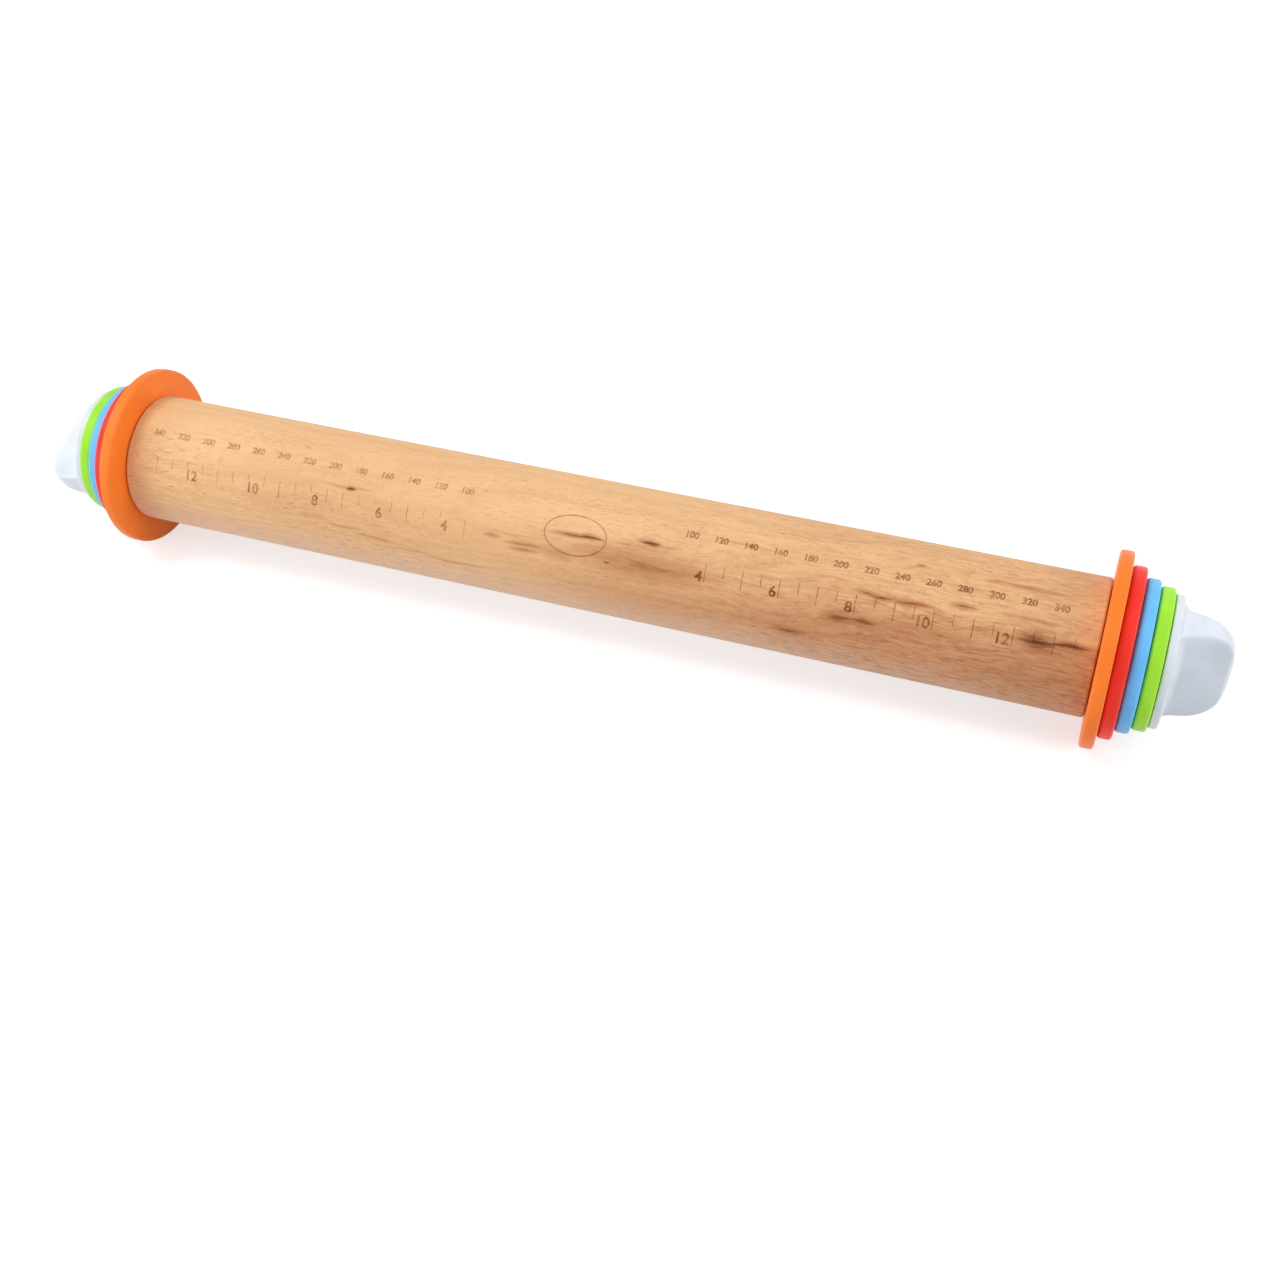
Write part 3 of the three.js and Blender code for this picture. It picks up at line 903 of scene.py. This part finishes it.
def knob_wing(along, angle):
    """Radius of the wing at one angle: the smaller of dome and scoop, with a soft edge between
    them and a fillet where the scoop starts. The scoop starts later in its corners."""
    dome = max(knob_dome_radius(along), TINY)
    scoop = max(knob_half_thickness(along), TINY) / max(abs(math.sin(angle)), TINY)
    power = KNOB_EDGE_SHARPNESS
    wing = ((dome / MM) ** -power + (scoop / MM) ** -power) ** (-1 / power) * MM
    sideways = wing * abs(math.cos(angle))
    corner = quarter_rise((sideways - KNOB_WING_RADIUS) / KNOB_SCOOP_CORNER + 1)
    start = KNOB_FOOT_HEIGHT + KNOB_SCOOP_CORNER * corner
    fillet = quarter_rise(1 - (along - start) / KNOB_FOOT_FILLET)
    ledge = KNOB_FLANGE_RADIUS - KNOB_SHOULDER_ROUND - KNOB_WING_RADIUS
    flare = ledge * quarter_rise(1 - (along - KNOB_FOOT_HEIGHT) / KNOB_FOOT_FILLET)
    return wing + (dome - wing) * fillet + flare


def knob_angles():
    """Angles round the wing, evenly spaced along its section at the foot."""
    half_thickness = KNOB_FOOT_THICKNESS / 2
    edge = math.asin(half_thickness / KNOB_WING_RADIUS)
    reach = half_thickness / math.tan(edge)
    quarter = [edge * i / KNOB_EDGE_STEPS for i in range(KNOB_EDGE_STEPS)]
    for i in range(KNOB_SIDE_STEPS):
        quarter.append(math.atan2(half_thickness, reach * (1 - i / KNOB_SIDE_STEPS)))
    half = quarter + [math.pi / 2] + [math.pi - angle for angle in quarter[:0:-1]]
    return half + [math.pi + angle for angle in half]


def post_slot(angle):
    """Radius of the slot for the post's tongue at one angle."""
    across = POST_SLOT_WIDTH / 2 / max(abs(math.cos(angle)), TINY)
    return min(across, POST_SLOT_THICKNESS / 2 / max(abs(math.sin(angle)), TINY))


def knob_flange():
    """Outline of the flange: a small round at the rim and a larger one at the shoulder."""
    outline = []
    for i in range(KNOB_RIM_STEPS + 1):
        bend = math.pi / 2 * i / KNOB_RIM_STEPS
        along = KNOB_RIM_ROUND * (1 - math.cos(bend))
        outline.append((along, KNOB_FLANGE_RADIUS - KNOB_RIM_ROUND * (1 - math.sin(bend))))
    for i in range(KNOB_SHOULDER_STEPS + 1):
        bend = math.pi / 2 * i / KNOB_SHOULDER_STEPS
        along = KNOB_FLANGE_RIM + KNOB_SHOULDER_ROUND * math.sin(bend)
        outline.append((along, KNOB_FLANGE_RADIUS - KNOB_SHOULDER_ROUND * (1 - math.cos(bend))))
    return outline


def knob_stations():
    """Distances of the wing's sections from the seat, closest at its foot and at its nose."""
    scoop_reach = KNOB_SCOOP_CORNER + KNOB_FOOT_FILLET
    dome_reach = KNOB_HEIGHT - KNOB_WING_STRAIGHT
    stations = []
    for i in range(KNOB_SCOOP_STEPS + 1):
        share = (i / KNOB_SCOOP_STEPS) ** KNOB_SCOOP_CROWDING
        stations.append(KNOB_FOOT_HEIGHT + scoop_reach * share)
    for i in range(KNOB_DOME_STEPS):
        sweep = math.sin(math.pi / 2 * i / KNOB_DOME_STEPS) ** (2 / KNOB_ROUNDNESS)
        along = KNOB_WING_STRAIGHT + sweep * dome_reach
        if along > stations[-1]:
            stations.append(along)
    return stations


def knob_rows(angles):
    """The knob's sections, from the bottom of the screw hole round its seat and its flange to
    the nose, each a distance from the seat and a radius for each angle."""
    disc = [POST_DISC_RADIUS] * len(angles)
    slot = [post_slot(angle) for angle in angles]
    hole = [SCREW_HOLE_RADIUS] * len(angles)
    rows = [(SCREW_HOLE_DEPTH, hole), (POST_SLOT_DEPTH, hole), (POST_SLOT_DEPTH, slot)]
    rows += [(POST_DISC_DEPTH, slot), (POST_DISC_DEPTH, disc), (0, disc)]
    rows += [(along, [radius] * len(angles)) for along, radius in knob_flange()]
    for along in knob_stations():
        rows.append((along, [knob_wing(along, angle) for angle in angles]))
    return rows


def make_knob(side, material):
    node = f"knob_{side}"
    low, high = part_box(node)
    outward = 1 if side == "right" else -1
    seat = low.x if side == "right" else high.x
    turn = math.radians(KNOB_TURNS[side])
    angles = knob_angles()
    rows = knob_rows(angles)
    points, faces = [], []
    for along, radii in rows:
        for angle, radius in zip(angles, radii):
            y = radius * math.cos(angle + turn)
            z = radius * math.sin(angle + turn)
            points.append((seat + outward * along, outward * y, AXIS_HEIGHT + z))
    count = len(angles)
    last = (len(rows) - 1) * count
    for here in range(0, last, count):
        faces += band(here, here + count, count)
    for first, along in ((0, SCREW_HOLE_DEPTH), (last, KNOB_HEIGHT)):
        points.append((seat + outward * along, 0, AXIS_HEIGHT))
        for i in range(count):
            faces.append((first + i, first + (i + 1) % count, len(points) - 1))
    mesh = mesh_of(node, points, faces)
    piece = add_object(f"{node}_moulded", mesh, material, MOULDED_SHARP_ANGLE)
    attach(piece, node)
    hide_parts(node)


# Floor and light

def highest(tree, first, second):
    node = tree.nodes.new("ShaderNodeMath")
    node.operation = "MAXIMUM"
    tree.links.new(first, node.inputs[0])
    tree.links.new(second, node.inputs[1])
    return node.outputs["Value"]


def make_floor():
    """A pale floor that keeps the shadow. It is lifted to white where it is seen directly and
    in what reflects it, and lights the object only as the pale floor."""
    reach = FLOOR_REACH
    corners = [(-reach, -reach, 0), (reach, -reach, 0), (reach, reach, 0), (-reach, reach, 0)]
    mesh = bpy.data.meshes.new("floor")
    mesh.from_pydata(corners, [], [(0, 1, 2, 3)])
    floor = bpy.data.objects.new("floor", mesh)
    scene.collection.objects.link(floor)
    material = bpy.data.materials.new("floor")
    material.use_nodes = True
    tree = material.node_tree
    tree.nodes.clear()
    diffuse = tree.nodes.new("ShaderNodeBsdfDiffuse")
    diffuse.inputs["Color"].default_value = FLOOR_GREY
    ray = tree.nodes.new("ShaderNodeLightPath").outputs
    strength = tree.nodes.new("ShaderNodeMath")
    strength.operation = "MULTIPLY"
    strength.inputs[1].default_value = FLOOR_LIFT
    seen = highest(tree, ray["Is Camera Ray"], ray["Is Glossy Ray"])
    tree.links.new(seen, strength.inputs[0])
    lift = tree.nodes.new("ShaderNodeEmission")
    tree.links.new(strength.outputs["Value"], lift.inputs["Strength"])
    total = tree.nodes.new("ShaderNodeAddShader")
    tree.links.new(diffuse.outputs["BSDF"], total.inputs[0])
    tree.links.new(lift.outputs["Emission"], total.inputs[1])
    output = tree.nodes.new("ShaderNodeOutputMaterial")
    tree.links.new(total.outputs["Shader"], output.inputs["Surface"])
    mesh.materials.append(material)


def make_world():
    """A cool dim sky lights the object. A white one shows behind it and in what it reflects."""
    world = bpy.data.worlds.new("world")
    world.use_nodes = True
    scene.world = world
    tree = world.node_tree
    lit = tree.nodes["Background"]
    lit.inputs["Color"].default_value = SKY_COLOUR
    lit.inputs["Strength"].default_value = SKY_STRENGTH
    shown = tree.nodes.new("ShaderNodeBackground")
    shown.inputs["Color"].default_value = WHITE
    ray = tree.nodes.new("ShaderNodeLightPath").outputs
    seen = highest(tree, ray["Is Camera Ray"], ray["Is Glossy Ray"])
    seen = highest(tree, seen, ray["Is Transmission Ray"])
    choice = tree.nodes.new("ShaderNodeMixShader")
    tree.links.new(seen, choice.inputs["Fac"])
    tree.links.new(lit.outputs["Background"], choice.inputs[1])
    tree.links.new(shown.outputs["Background"], choice.inputs[2])
    tree.links.new(choice.outputs["Shader"], tree.nodes["World Output"].inputs["Surface"])


def make_lamp(name, place, target, size, power, colour):
    light = bpy.data.lights.new(name, "AREA")
    light.shape = "DISK"
    light.size = size
    light.energy = power
    light.color = colour
    lamp = bpy.data.objects.new(name, light)
    lamp.location = place
    lamp.rotation_euler = (Vector(target) - Vector(place)).to_track_quat("-Z", "Y").to_euler()
    scene.collection.objects.link(lamp)


make_camera()
make_floor()
make_world()
for lamp_name, lamp_settings in LAMPS.items():
    make_lamp(lamp_name, **lamp_settings)

wood = beech()
burnt = {name: engraving(f"engraved_{name}", *shares) for name, shares in BURNS.items()}
plastics = {name: plastic(f"{name}_plastic", *look) for name, look in PLASTICS.items()}
metal = steel()

make_barrel(wood)
make_oval(burnt["clear"])
for side in ("left", "right"):
    make_mm_scale(side, burnt)
    make_inch_scale(side, burnt)
    make_knob(side, plastics["white"])
    for colour in RING_COLOURS:
        make_ring(colour, side, plastics[colour])
    for part in ("thread_insert", "threaded_post"):
        paint_node(f"{part}_{side}", plastics["grey"])
    for part in ("insert_screw", "post_screw", "post_washer"):
        paint_node(f"{part}_{side}", metal)

scene.view_settings.view_transform = "Standard"
bpy.context.view_layer.update()
